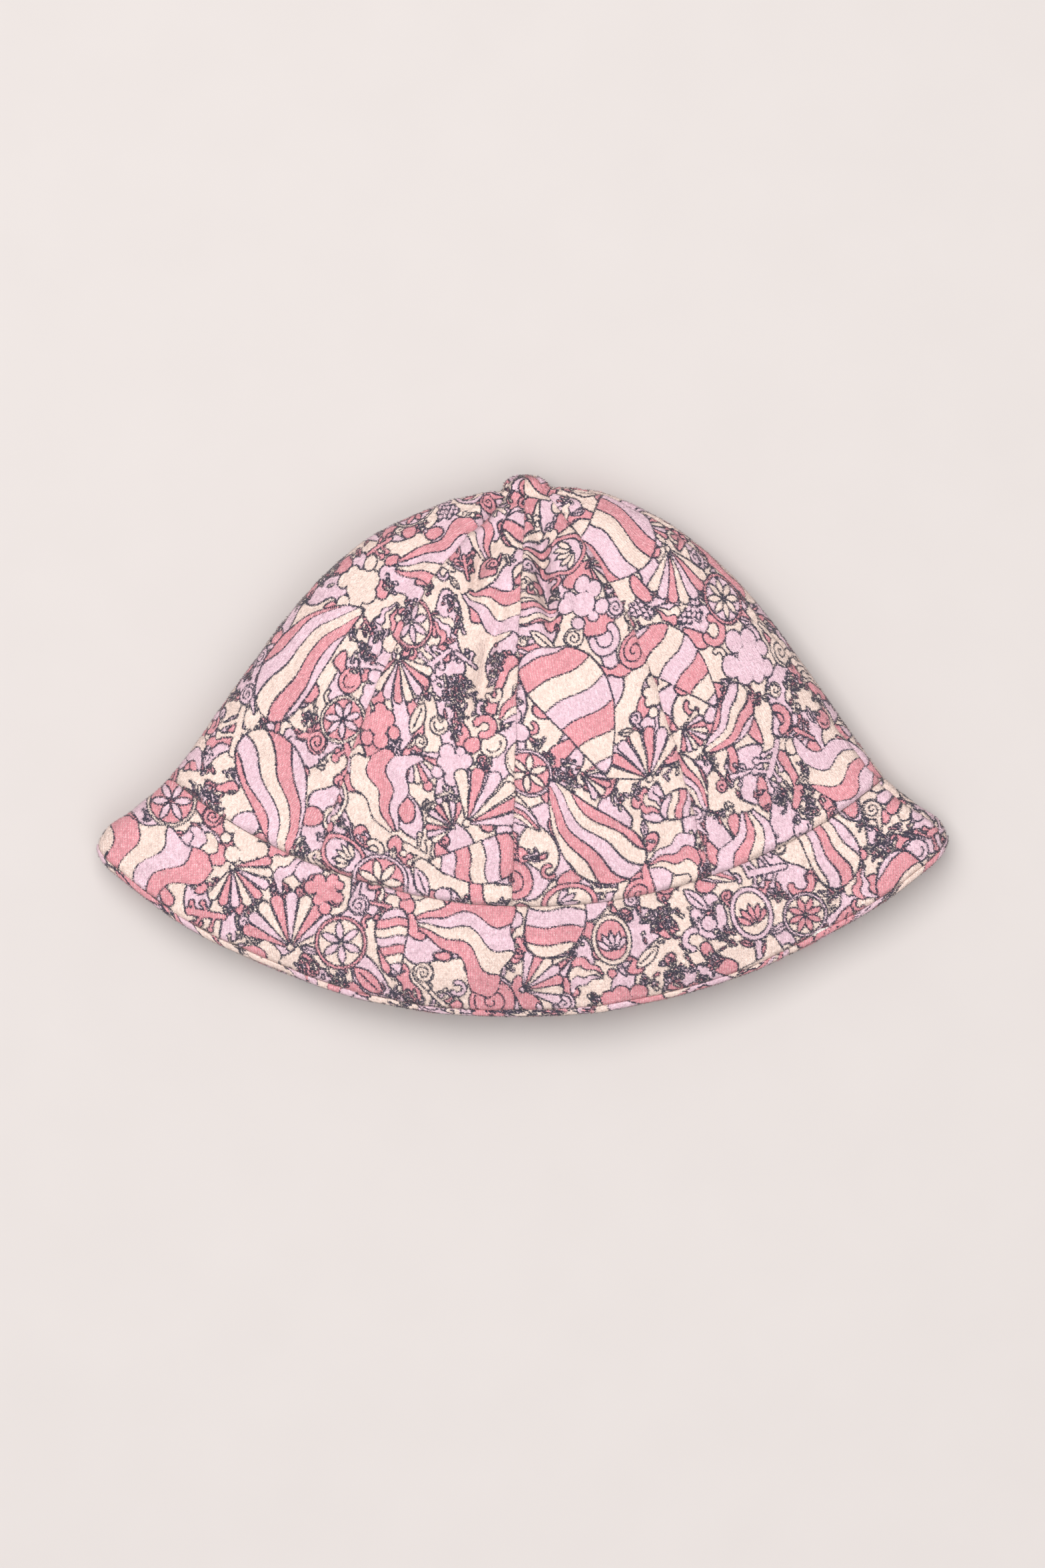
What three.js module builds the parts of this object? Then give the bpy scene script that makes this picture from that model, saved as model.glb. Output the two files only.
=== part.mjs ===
// Bucket hat for a small child, lying on its back: an eight-gore velour crown with a jersey lining, a
// soft double brim with an interlining, an inner band, a blank care label and the thread tack at the
// point of the crown.
// Units are millimetres. +X runs across the hat, +Y from the open end to the point of the crown, and
// +Z away from the surface that the hat lies on. The origin is the bottom centre of the hat's box.
import * as THREE from 'three';

// Cloth thicknesses and the play between neighbouring pieces.
const VELOUR = 1.5;
const BRIM_VELOUR = 1.3;
const JERSEY = 0.6;
const INTERLINING = 0.6;
const BAND = 1.2;
const GAP = 0.3;

// The girth is counted in gore widths from the middle of the front. The crown has rolled round by a
// part of one gore, so its middle seam lies a little to the left.
const GORES = 8;
const ROLL = -0.075;

// Side folds: the radius that the folded cloth keeps, and the share of the front's height that belongs
// to the fold and not to the flatter dome between the folds.
const FOLD_RADIUS = 6.5;
const FOLD_SHARE = 8;
const CURL_REACH = 0.3;

// Sections of the hat from the point of the crown to the hem:
//   half  half of the width between the side folds
//   side  y of the side folds            mid    y of the middle of the front and back
//   top   height of the front            fold   height of the side folds
//   back  height of the back             curl   how far the folds draw back from the round of the hem
//   shift and lean: the crooked way it lies, moved across and rising in y by `lean` for each mm across
const SECTIONS = [
  { half: 0.0, side: 90.6, mid: 90.6, top: 9.0, fold: 9.0, back: 9.0, curl: 0, shift: 1.2, lean: 0 },
  { half: 4.4, side: 89.7, mid: 89.5, top: 13.0, fold: 9.0, back: 5.0, curl: 0, shift: 1.2, lean: 0 },
  { half: 7.0, side: 87.8, mid: 86.9, top: 15.4, fold: 9.0, back: 3.0, curl: 0, shift: 1.2, lean: 0.02 },
  { half: 8.8, side: 85.6, mid: 82.6, top: 16.8, fold: 9.5, back: 2.0, curl: 0, shift: 1.4, lean: 0.06 },
  { half: 18.0, side: 84.5, mid: 70, top: 24.0, fold: 10.5, back: 0.8, curl: 0, shift: 1.7, lean: 0.06 },
  { half: 30.0, side: 81.5, mid: 58, top: 31.5, fold: 11.5, back: 0.0, curl: 0, shift: 1.7, lean: 0.04 },
  { half: 52.5, side: 69.8, mid: 37, top: 41.5, fold: 13.0, back: 0.0, curl: 0, shift: 1.7, lean: 0.012 },
  { half: 73.0, side: 51.5, mid: 15, top: 48.0, fold: 14.0, back: 0.0, curl: 0, shift: 1.7, lean: 0 },
  { half: 91.5, side: 27.5, mid: -10, top: 50.0, fold: 14.0, back: 0.0, curl: 0, shift: 1.7, lean: 0 },
  { half: 106.0, side: 7, mid: -32, top: 46.0, fold: 14.0, back: 0.0, curl: 0, shift: 1.7, lean: 0 },
  { half: 119.0, side: -10.5, mid: -53.25, top: 38.0, fold: 13.0, back: 0.0, curl: 0, shift: 1.7, lean: 0 },
  { half: 130.3, side: -20.2, mid: -68.9, top: 32.5, fold: 11.5, back: 0.0, curl: 0, shift: 1, lean: 0.006 },
  { half: 138.8, side: -26.6, mid: -79.6, top: 27.0, fold: 10.2, back: 0.0, curl: 0.5, shift: 0.3, lean: 0.01 },
  { half: 142.6, side: -36.2, mid: -90.75, top: 20.0, fold: 9.0, back: 0.0, curl: 3.6, shift: 0, lean: 0.011 },
];
const BRIM_SEAM = 10;
const HEM = SECTIONS.length - 1;
const SEAM_PLAY = 0.008;

// Ends of the panels, counted in sections along the hat, and the steps across one gore width.
const SHELL_TIP = 0.45;
const LINING_TIP = 1.1;
const BAND_TOP = 8.85;
const INTERLINING_INSET = 0.12;
const GORE_STEPS = 6;

// Care label: a folded tape that lies on the band at the back, with its sewn end at the brim seam.
const LABEL = { width: 16, length: 27, tape: 0.4, x: -22, y: -49, bend: 0.3 };

// Thread tack that gathers the points of the eight gores.
const TACK = { radius: 1.2, length: 3.0, x: 1.2, y: 87.3 };

const MATERIALS = {
  velour: new THREE.MeshStandardMaterial({ color: 0xdd9a9f, roughness: 0.95, metalness: 0 }),
  jersey: new THREE.MeshStandardMaterial({ color: 0xf4e6d6, roughness: 0.9, metalness: 0 }),
  interlining: new THREE.MeshStandardMaterial({ color: 0xf2f0ea, roughness: 0.95, metalness: 0 }),
  twill: new THREE.MeshStandardMaterial({ color: 0xefd9cc, roughness: 0.85, metalness: 0 }),
  satin: new THREE.MeshStandardMaterial({ color: 0xfbf8f2, roughness: 0.5, metalness: 0 }),
  thread: new THREE.MeshStandardMaterial({ color: 0xd9868f, roughness: 0.7, metalness: 0 }),
};

const hat = new THREE.Group();
hat.name = 'bucket_hat';

// Catmull-Rom blend of the section list at a fractional section number.
function sectionAt(row) {
  const last = SECTIONS.length - 1;
  const index = Math.min(Math.floor(row), last - 1);
  const t = row - index;
  const near = [-1, 0, 1, 2].map((step) => SECTIONS[THREE.MathUtils.clamp(index + step, 0, last)]);
  const blend = (key) => {
    const [a, b, c, d] = near.map((section) => section[key]);
    const cubic = 3 * (b - c) + d - a;
    const square = 2 * a - 5 * b + 4 * c - d;
    return b + 0.5 * t * (c - a + t * (square + t * cubic));
  };
  return Object.fromEntries(Object.keys(SECTIONS[0]).map((key) => [key, blend(key)]));
}

// Rise of a folded edge: round at the fold, where `across` is 0, and level further in.
function foldRise(across, height, half) {
  const reach = (Math.PI / 2) * (height / Math.sqrt(FOLD_RADIUS * half));
  return height * Math.sin((Math.PI / 2) * Math.min(1, across / Math.min(1, reach)));
}

// Point of the outer surface. `angle` is 0 at the middle of the front, 90 degrees at the right side
// fold and 180 degrees at the middle of the back.
function skin(row, angle) {
  const s = sectionAt(row);
  const arc = Math.max(1e-3, 2 * Math.atan2(s.side - s.mid, Math.max(s.half, 1e-3)));
  const sweep = arc * Math.sin(angle);
  const across = Math.abs(Math.cos(angle));
  const radius = s.half / Math.sin(arc);
  const curl = s.curl * Math.max(0, 1 - across / CURL_REACH) ** 2;
  const x = radius * Math.sin(sweep) + s.shift;
  const y = s.mid + radius * (1 - Math.cos(sweep)) + curl + s.lean * x;
  if (Math.cos(angle) < 0) {
    const drop = s.fold - Math.max(0, s.back);
    return new THREE.Vector3(x, y, s.fold - foldRise(across, drop, s.half));
  }
  const rise = Math.min(FOLD_SHARE, s.top - s.fold);
  const dome = s.top - s.fold - rise;
  return new THREE.Vector3(x, y, s.fold + foldRise(across, rise, s.half) + dome * across ** 2);
}

// Point at a depth below the outer surface, measured square to it.
function layerPoint(row, angle, depth) {
  const step = 0.01;
  const down = skin(Math.min(row + step, HEM), angle).sub(skin(row - step, angle));
  const round = skin(row, angle + step).sub(skin(row, angle - step));
  const normal = down.cross(round).normalize();
  return skin(row, angle).addScaledVector(normal, -depth);
}

// Lengths along half of the loop at one section, from the middle of the front to the middle of the back.
const loops = new Map();
function halfLoop(row) {
  if (!loops.has(row)) {
    const steps = 120;
    const lengths = [0];
    for (let i = 1; i <= steps; i += 1) {
      const from = skin(row, (Math.PI * (i - 1)) / steps);
      const to = skin(row, (Math.PI * i) / steps);
      lengths.push(lengths[i - 1] + from.distanceTo(to));
    }
    loops.set(row, lengths);
  }
  return loops.get(row);
}

// Angle that lies a number of gore widths round from the middle of the front, moved by `play` mm.
function girthAngle(row, gores, play) {
  const lengths = halfLoop(row);
  const steps = lengths.length - 1;
  const width = lengths[steps] / (GORES / 2);
  const turns = Math.round(gores / GORES);
  const signed = (gores - GORES * turns) * width + play;
  const target = Math.min(Math.abs(signed), lengths[steps]);
  const found = Math.max(1, lengths.findIndex((length) => length >= target));
  const part = (target - lengths[found - 1]) / (lengths[found] - lengths[found - 1]);
  return 2 * Math.PI * turns + (Math.sign(signed) * Math.PI * (found - 1 + part)) / steps;
}

// Closed solid between two grids of points, walled in round its edge.
function gridSolid(rowCount, columnCount, pointAt) {
  const positions = [];
  for (const side of ['outer', 'inner']) {
    for (let i = 0; i < rowCount; i += 1) {
      for (let j = 0; j < columnCount; j += 1) {
        positions.push(...pointAt(i, j, side).toArray());
      }
    }
  }
  const inner = rowCount * columnCount;
  const at = (i, j) => i * columnCount + j;
  const index = [];
  for (let i = 0; i + 1 < rowCount; i += 1) {
    for (let j = 0; j + 1 < columnCount; j += 1) {
      const [a, b, c, d] = [at(i, j), at(i + 1, j), at(i + 1, j + 1), at(i, j + 1)];
      index.push(a, b, c, a, c, d);
      index.push(inner + a, inner + c, inner + b, inner + a, inner + d, inner + c);
    }
  }
  const rim = [];
  for (let i = 0; i < rowCount - 1; i += 1) rim.push(at(i, 0));
  for (let j = 0; j < columnCount - 1; j += 1) rim.push(at(rowCount - 1, j));
  for (let i = rowCount - 1; i > 0; i -= 1) rim.push(at(i, columnCount - 1));
  for (let j = columnCount - 1; j > 0; j -= 1) rim.push(at(0, j));
  rim.forEach((p, k) => {
    const q = rim[(k + 1) % rim.length];
    index.push(q, p, inner + p, q, inner + p, inner + q);
  });
  const geometry = new THREE.BufferGeometry();
  geometry.setAttribute('position', new THREE.Float32BufferAttribute(positions, 3));
  geometry.setIndex(index);
  geometry.computeVertexNormals();
  return geometry;
}

// Cut panel of cloth: `rows` are section numbers, `from` its left edge and `width` its width in gore
// widths, and `depth` and `thickness` its place in the layers under the outer surface. Every panel has
// its columns at the same angles, so stacked layers stay parallel.
function clothPanel({ rows, from, width, depth, thickness }) {
  const columns = width * GORE_STEPS;
  return gridSolid(rows.length, columns + 1, (i, j, side) => {
    const gore = Math.min(Math.floor(j / GORE_STEPS), width - 1);
    const start = girthAngle(rows[i], from + gore, gore === 0 ? GAP / 2 : 0);
    const end = girthAngle(rows[i], from + gore + 1, gore === width - 1 ? -GAP / 2 : 0);
    const angle = THREE.MathUtils.lerp(start, end, j / GORE_STEPS - gore);
    return layerPoint(rows[i], angle, side === 'outer' ? depth : depth + thickness);
  });
}

function addPiece(name, geometry, material) {
  const mesh = new THREE.Mesh(geometry, material);
  mesh.name = name;
  hat.add(mesh);
  return mesh;
}

function evenRows(from, to, count) {
  return Array.from({ length: count }, (_, i) => THREE.MathUtils.lerp(from, to, i / (count - 1)));
}

// The eight gores of one layer of the crown, numbered from the left side of the front.
function addCrown(name, material, rows, depth, thickness) {
  for (let k = 0; k < GORES; k += 1) {
    const from = ROLL + k - GORES / 4;
    const panel = clothPanel({ rows, from, width: 1, depth, thickness });
    addPiece(`${name}_${k + 1}`, panel, material);
  }
}

// The front and back halves of one layer of the brim.
function addBrim(name, material, rows, depth, thickness) {
  ['front', 'back'].forEach((half, k) => {
    const from = ROLL + (k - 0.5) * (GORES / 2);
    const panel = clothPanel({ rows, from, width: GORES / 2, depth, thickness });
    addPiece(`${name}_${half}`, panel, material);
  });
}

// Inner band over the lining, with its ends meeting at the middle of the back.
function addBand(depth) {
  const rows = [BAND_TOP, ...crownRows.filter((row) => row > BAND_TOP)];
  const from = ROLL - GORES / 2;
  const panel = clothPanel({ rows, from, width: GORES, depth, thickness: BAND });
  addPiece('inner_band', panel, MATERIALS.twill);
}

// Tape folded in two, seen from the side as a flat U and extruded to its width.
function addLabel(height) {
  const { width, length, tape, bend } = LABEL;
  const outer = tape + bend / 2;
  const shape = new THREE.Shape();
  shape.moveTo(0, 0);
  shape.lineTo(length - outer, 0);
  shape.absarc(length - outer, outer, outer, -Math.PI / 2, Math.PI / 2, false);
  shape.lineTo(0, 2 * outer);
  shape.lineTo(0, 2 * outer - tape);
  shape.lineTo(length - outer, 2 * outer - tape);
  shape.absarc(length - outer, outer, bend / 2, Math.PI / 2, -Math.PI / 2, true);
  shape.lineTo(0, tape);
  shape.closePath();
  const geometry = new THREE.ExtrudeGeometry(shape, { depth: width, bevelEnabled: false, curveSegments: 6 });
  const label = addPiece('care_label', geometry, MATERIALS.satin);
  label.rotation.set(Math.PI / 2, Math.PI / 2, 0);
  label.position.set(LABEL.x, LABEL.y, height);
}

function addTack() {
  const geometry = new THREE.CapsuleGeometry(TACK.radius, TACK.length, 4, 10);
  addPiece('crown_tack', geometry, MATERIALS.thread).position.set(TACK.x, TACK.y, SECTIONS[0].fold);
}

const liningDepth = VELOUR + GAP;
const bandDepth = liningDepth + JERSEY + 2 * GAP;
const crownEdge = BRIM_SEAM - SEAM_PLAY;
const crownRows = [1.6, 2.3, 3, 3.5, 4, 4.5, 5, 6, 7, 8, 9, 9.5, crownEdge];
const shellRows = [SHELL_TIP, 1, ...crownRows];
const liningRows = [LINING_TIP, ...crownRows];
addCrown('crown_gore', MATERIALS.velour, shellRows, 0, VELOUR);
addCrown('lining_gore', MATERIALS.jersey, liningRows, liningDepth, JERSEY);

const brimTop = BRIM_SEAM + SEAM_PLAY;
const interliningDepth = BRIM_VELOUR + GAP;
const underDepth = interliningDepth + INTERLINING + GAP;
const brimRows = evenRows(brimTop, HEM, 7);
const interliningRows = [
  brimTop + INTERLINING_INSET,
  ...brimRows.slice(1, -1),
  HEM - INTERLINING_INSET,
];
addBrim('brim_top', MATERIALS.velour, brimRows, 0, BRIM_VELOUR);
addBrim('brim_interlining', MATERIALS.interlining, interliningRows, interliningDepth, INTERLINING);
addBrim('brim_under', MATERIALS.velour, brimRows, underDepth, BRIM_VELOUR);

addBand(bandDepth);
addLabel(bandDepth + BAND + GAP);
addTack();

export default hat;
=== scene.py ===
# Looks of the bucket hat that lies on its back: printed knit velour panels, jersey lining, inner band,
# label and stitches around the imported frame, with a pale floor, soft light and a camera from above.
# Lengths are in millimetres until a mesh is made, because the cloth is cut and sewn in millimetres.
import math

import bpy
import numpy as np
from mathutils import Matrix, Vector


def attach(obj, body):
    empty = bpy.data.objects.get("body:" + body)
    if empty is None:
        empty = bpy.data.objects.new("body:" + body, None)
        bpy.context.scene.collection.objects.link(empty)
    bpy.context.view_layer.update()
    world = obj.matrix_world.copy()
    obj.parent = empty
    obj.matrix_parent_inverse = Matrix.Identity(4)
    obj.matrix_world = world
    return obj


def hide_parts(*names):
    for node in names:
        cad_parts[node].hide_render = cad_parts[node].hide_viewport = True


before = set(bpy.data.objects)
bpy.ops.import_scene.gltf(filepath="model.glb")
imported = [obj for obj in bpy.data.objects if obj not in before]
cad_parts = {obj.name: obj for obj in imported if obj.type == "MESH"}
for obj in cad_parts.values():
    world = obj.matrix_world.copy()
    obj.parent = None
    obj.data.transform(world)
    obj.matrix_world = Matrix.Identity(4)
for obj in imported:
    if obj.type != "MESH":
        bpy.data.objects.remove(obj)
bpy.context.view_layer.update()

MM = 0.001

# ---------------------------------------------------------------------------------------------------
# The hat's outer surface, which the frame's panels share
# ---------------------------------------------------------------------------------------------------

# Sections from the point of the crown to the hem: half width, y at the side folds, y at the middle,
# height of the front, of the side folds and of the back, how far the folds draw back at the hem,
# and the crooked way it lies: shift across, and rise in y per mm across.
SECTIONS = np.array([
    (0.0, 90.6, 90.6, 9.0, 9.0, 9.0, 0, 1.2, 0),
    (4.4, 89.7, 89.5, 13.0, 9.0, 5.0, 0, 1.2, 0),
    (7.0, 87.8, 86.9, 15.4, 9.0, 3.0, 0, 1.2, 0.02),
    (8.8, 85.6, 82.6, 16.8, 9.5, 2.0, 0, 1.4, 0.06),
    (18.0, 84.5, 70.0, 24.0, 10.5, 0.8, 0, 1.7, 0.06),
    (30.0, 81.5, 58.0, 31.5, 11.5, 0.0, 0, 1.7, 0.04),
    (52.5, 69.8, 37.0, 41.5, 13.0, 0.0, 0, 1.7, 0.012),
    (73.0, 51.5, 15.0, 48.0, 14.0, 0.0, 0, 1.7, 0),
    (91.5, 27.5, -10.0, 50.0, 14.0, 0.0, 0, 1.7, 0),
    (106.0, 7.0, -32.0, 46.0, 14.0, 0.0, 0, 1.7, 0),
    (119.0, -10.5, -53.25, 38.0, 13.0, 0.0, 0, 1.7, 0),
    (130.3, -20.2, -68.9, 32.5, 11.5, 0.0, 0, 1.0, 0.006),
    (138.8, -26.6, -79.6, 27.0, 10.2, 0.0, 0.5, 0.3, 0.01),
    (142.6, -36.2, -90.75, 20.0, 9.0, 0.0, 3.6, 0, 0.011),
])
BRIM_SEAM = 10
HEM = len(SECTIONS) - 1
GORES = 8

# How far the seams are rolled round, in gore widths.
ROLL = -0.075

# Side folds: their radius, the height that is rounded, and how far across the hem draws back at them.
FOLD_RADIUS = 6.5
FOLD_SHARE = 8
CURL_REACH = 0.3

# Where round the hat lengths are measured: on the front, a little beside its middle.
MEASURING_ANGLE = 0.35

# A hidden grid keeps one in this many of the vertices of the shown grid before it.
COARSE = 4

# Cloth thicknesses, and the depth of each layer under the outer surface.
VELOUR = 1.5
BRIM_VELOUR = 1.3
JERSEY = 0.6
GAP = 0.3
BAND = 1.2
LINING_DEPTH = VELOUR + GAP
BAND_DEPTH = LINING_DEPTH + JERSEY + 2 * GAP
BRIM_DEPTH = 3.8


def sections_at(rows):
    """Catmull-Rom blend of the sections at fractional section numbers."""
    index = np.clip(np.floor(rows).astype(int), 0, HEM - 1)
    t = (rows - index)[..., None]
    a, b, c, d = (SECTIONS[np.clip(index + step, 0, HEM)] for step in (-1, 0, 1, 2))
    cubic = 3 * (b - c) + d - a
    square = 2 * a - 5 * b + 4 * c - d
    return b + 0.5 * t * (c - a + t * (square + t * cubic))


def fold_rise(across, height, half):
    """Rise of a folded edge: round at the fold, where `across` is 0, and level further in."""
    reach = np.minimum(1, (math.pi / 2) * height / np.sqrt(FOLD_RADIUS * np.maximum(half, 1e-3)))
    return height * np.sin((math.pi / 2) * np.minimum(1, across / np.maximum(reach, 1e-3)))


def skin(rows, angles):
    """Points of the outer surface. Angle 0 is the middle of the front, and pi that of the back."""
    half, side, mid, top, fold, back, draw, shift, lean = np.moveaxis(sections_at(rows), -1, 0)
    arc = np.maximum(1e-3, 2 * np.arctan2(side - mid, np.maximum(half, 1e-3)))
    sweep = arc * np.sin(angles)
    across = np.abs(np.cos(angles))
    radius = half / np.sin(arc)
    x = radius * np.sin(sweep) + shift
    curl = draw * np.maximum(0, 1 - across / CURL_REACH) ** 2
    y = mid + radius * (1 - np.cos(sweep)) + curl + lean * x
    rise = np.minimum(FOLD_SHARE, top - fold)
    front = fold + fold_rise(across, rise, half) + (top - fold - rise) * across**2
    behind = fold - fold_rise(across, fold - np.maximum(0, back), half)
    return np.stack([x, y, np.where(np.cos(angles) < 0, behind, front)], axis=-1)


def skin_normals(rows, angles):
    """Unit normals of the outer surface, pointing out of the hat."""
    step = 0.01
    down = skin(np.minimum(rows + step, HEM), angles) - skin(np.maximum(rows - step, 0), angles)
    across = skin(rows, angles + step) - skin(rows, angles - step)
    normal = np.cross(down, across)
    return normal / np.maximum(np.linalg.norm(normal, axis=-1, keepdims=True), 1e-9)


def run_lengths(points):
    """Distance of each point of a line from its start, along the line."""
    return np.concatenate([[0], np.cumsum(np.linalg.norm(np.diff(points, axis=0), axis=1))])


def down_front(start, end, count):
    """Section numbers between two rows, and how many mm down the front each lies."""
    rows = np.linspace(start, end, count)
    return rows, run_lengths(skin(rows, np.full(count, MEASURING_ANGLE)))


def even_rows(start, end, spacing):
    """Section numbers between two rows about `spacing` mm apart down the front, and the length in mm."""
    fine, lengths = down_front(start, end, 400)
    count = COARSE * max(1, round(lengths[-1] / spacing / COARSE))
    return np.interp(np.linspace(0, lengths[-1], count + 1), lengths, fine), lengths[-1]


# ---------------------------------------------------------------------------------------------------
# Relief: what the cloth does between and beside its seams
# ---------------------------------------------------------------------------------------------------

# Creases of the front near the point of the crown: x and y along each, its depth and its width.
CREASES = (
    (((5.9, 74), (6.4, 64), (6.6, 57), (7.7, 50), (9.5, 43), (10.4, 32)), 4.6, 2.3),
    (((-10.8, 68), (-14.1, 60.5), (-15.3, 56), (-15.7, 48)), 3.4, 2.2),
    (((-6.6, 50), (-8.3, 40), (-11.3, 31.5), (-12.6, 24), (-13.3, 18), (-15.8, 6)), 3.6, 2.7),
    (((-5.5, 83.5), (-10.8, 78), (-15.5, 72)), 2.4, 1.6),
    (((21, 74), (26, 63), (30, 52)), 1.6, 3.2),
    (((-30, 72), (-36, 60), (-41, 48)), 1.4, 3.4),
)


def soft_noise(points, seed, wavelength, waves=8):
    """Smooth seeded noise in space, about between -1 and 1."""
    rng = np.random.default_rng(seed)
    total = np.zeros(points.shape[:-1])
    for _ in range(waves):
        direction = rng.normal(size=3)
        direction *= 2 * math.pi / (wavelength * rng.uniform(0.7, 1.5) * np.linalg.norm(direction))
        total += np.cos(points @ direction + rng.uniform(0, 2 * math.pi))
    return total / math.sqrt(2 * waves)


def ridge(distance, width):
    """Smooth ridge that is 1 at no distance and fades out over `width`."""
    return np.exp(-((distance / width) ** 2))


def crease_depth(points, front):
    """Depth of the creases at points in plan, on the front only."""
    depth = np.zeros(points.shape[:-1])
    for path, deep, width in CREASES:
        path = np.array(path, dtype=float)
        nearest = np.full(points.shape[:-1], 1e3)
        along = np.zeros(points.shape[:-1])
        for k in range(len(path) - 1):
            span = path[k + 1] - path[k]
            t = np.clip(((points[..., :2] - path[k]) @ span) / (span @ span), 0, 1)
            distance = np.linalg.norm(points[..., :2] - path[k] - t[..., None] * span, axis=-1)
            along = np.where(distance < nearest, (k + t) / (len(path) - 1), along)
            nearest = np.minimum(nearest, distance)
        fade = np.sin(math.pi * np.clip(0.12 + 0.8 * along, 0, 1))
        depth += fade * deep * (ridge(nearest, width) - 0.35 * ridge(nearest - 2.4 * width, width))
    return np.where(front, depth, 0)


def body_relief(rows, angles, points):
    """Broad shape that all layers share: slack, the overhang at the brim seam, the hem's waves."""
    front = np.cos(angles) > 0
    free = np.where(front, np.clip(np.abs(np.cos(angles)) / 0.35, 0, 1), 0)
    slack = 0.9 * soft_noise(points, 11, 46) + 0.35 * soft_noise(points, 12, 17)
    away = rows - BRIM_SEAM
    uneven = 0.55 + 0.45 * np.clip(np.abs(points[..., 0]) / 80, 0, 1) + 0.3 * soft_noise(points, 14, 33)
    overhang = 1.5 * ridge(away + 0.13, 0.14)
    step = -0.5 * np.exp(-np.maximum(away, 0) / 0.3) * (away > 0)
    allowance = -0.4 * ridge(away - 0.62, 0.08)
    hem = np.clip((away - 1) / 2, 0, 1) * 1.1 * soft_noise(points, 13, 52, 5)
    swell = np.clip((rows - 3) / 2, 0, 1)
    gathers = 0.45 * np.cos(17 * angles + 2 * np.sin(5 * angles)) * ridge(rows - 3.6, 0.7)
    neck = -0.5 * ridge(rows - 3.0, 0.3)
    crown = swell * (slack + uneven * (overhang + step + allowance)) - crease_depth(points, front)
    return free * (crown + hem + gathers) + np.where(front, neck, 0)


def seam_relief(edge, points):
    """Outer surface beside a seam, `edge` mm from it: it turns down, with small puckers along it."""
    pucker = 0.25 * soft_noise(points, 21, 7) * np.exp(-edge / 5)
    return pucker - 0.4 * ridge(edge, 0.8) - 0.2 * np.exp(-edge / 3)


# ---------------------------------------------------------------------------------------------------
# The print: soft blobs with scattered, outlined motifs, as distances in mm that the shader thresholds
# ---------------------------------------------------------------------------------------------------

LINE, CORAL, PINK = 0, 1, 2
CREAM = 3


def fill(ink, sd, colour):
    """Paint a shape, given its signed distance in mm: hides what lies under it and outlines it."""
    for column in (CORAL, PINK):
        joined = np.minimum(ink[:, column], sd)
        cut = np.maximum(ink[:, column], -sd)
        ink[:, column] = joined if column == colour else cut
    ink[:, LINE] = np.where(sd < 0, -sd, np.minimum(ink[:, LINE], sd))


def stroke(ink, distance, shape):
    """Draw a line inside a shape."""
    ink[:, LINE] = np.minimum(ink[:, LINE], np.maximum(distance, shape))


def disc(x, y, radius):
    return np.hypot(x, y) - radius


def oval(x, y, a, b):
    near = np.hypot(x / a, y / b)
    slope = np.hypot(x / a**2, y / b**2) + 1e-6
    return near * (near - 1) / slope


def taper(x, y, end, r0, r1):
    """Round-ended bar from the origin to `end`, with radius r0 at the origin and r1 at the end."""
    length2 = end[0] ** 2 + end[1] ** 2
    t = np.clip((x * end[0] + y * end[1]) / length2, 0, 1)
    return np.hypot(x - t * end[0], y - t * end[1]) - (r0 + (r1 - r0) * t)


def leaf_shape(x, y, length, width):
    """Pointed leaf along x between -length and length."""
    radius = (length**2 + width**2) / (2 * width)
    return np.hypot(x, np.abs(y) + radius - width) - radius


def turn(x, y, angle):
    c, s = math.cos(angle), math.sin(angle)
    return c * x + s * y, c * y - s * x


def tones_of(rng):
    return rng.permutation([CORAL, PINK, CREAM])


def fan(ink, x, y, size, rng):
    """Spread of petals from one point, each outlined."""
    count = int(rng.integers(6, 10))
    spread = rng.uniform(0.26, 0.34)
    tones = tones_of(rng)
    for k in range(count):
        side = k - (count - 1) / 2
        px, py = turn(x, y + 0.8 * size, side * spread)
        reach = size * (1.6 - 0.3 * abs(side) / count)
        fill(ink, taper(px, py, (0, reach), 0.02 * size, 0.21 * size), tones[k % 3])
    fill(ink, disc(x, y + 0.8 * size, 0.12 * size), tones[0])


def wheel(ink, x, y, size, rng):
    """Round of petals inside a ring."""
    count = int(rng.integers(6, 9))
    tones = tones_of(rng)
    fill(ink, disc(x, y, size), tones[2])
    fill(ink, disc(x, y, 0.86 * size), tones[1])
    for k in range(count):
        px, py = turn(x, y, 2 * math.pi * k / count)
        fill(ink, leaf_shape(px - 0.45 * size, py, 0.38 * size, 0.15 * size), tones[0])


def plume(ink, x, y, size, rng):
    """Curved feather of long stripes that spread from a narrow foot to a wide end."""
    tones = tones_of(rng)
    bend = rng.uniform(0.25, 0.55) * rng.choice([-1, 1])
    reach = np.hypot(x, y + size) / (2 * size)
    angle = np.arctan2(x, y + size) + bend * (reach - 0.5) + 0.07 * np.sin(reach * 14)
    half = rng.uniform(0.42, 0.6)
    far = (reach - 0.97 - 0.03 * np.cos(angle * 16)) * 2 * size
    width = np.maximum(reach, 0.05) * 2 * size
    shape = np.maximum(np.maximum((np.abs(angle) - half) * width, far), (0.12 - reach) * 2 * size)
    fill(ink, shape, tones[0])
    stripes = max(3, round(half * 2 * size / 4.8))
    for k in range(stripes):
        middle = half * (2 * (k + 0.5) / stripes - 1)
        stripe = (np.abs(angle - middle) - half / stripes) * width
        if k % 3:
            fill(ink, np.maximum(stripe, shape), tones[k % 3])
        else:
            stroke(ink, np.abs(stripe), shape)


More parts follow.
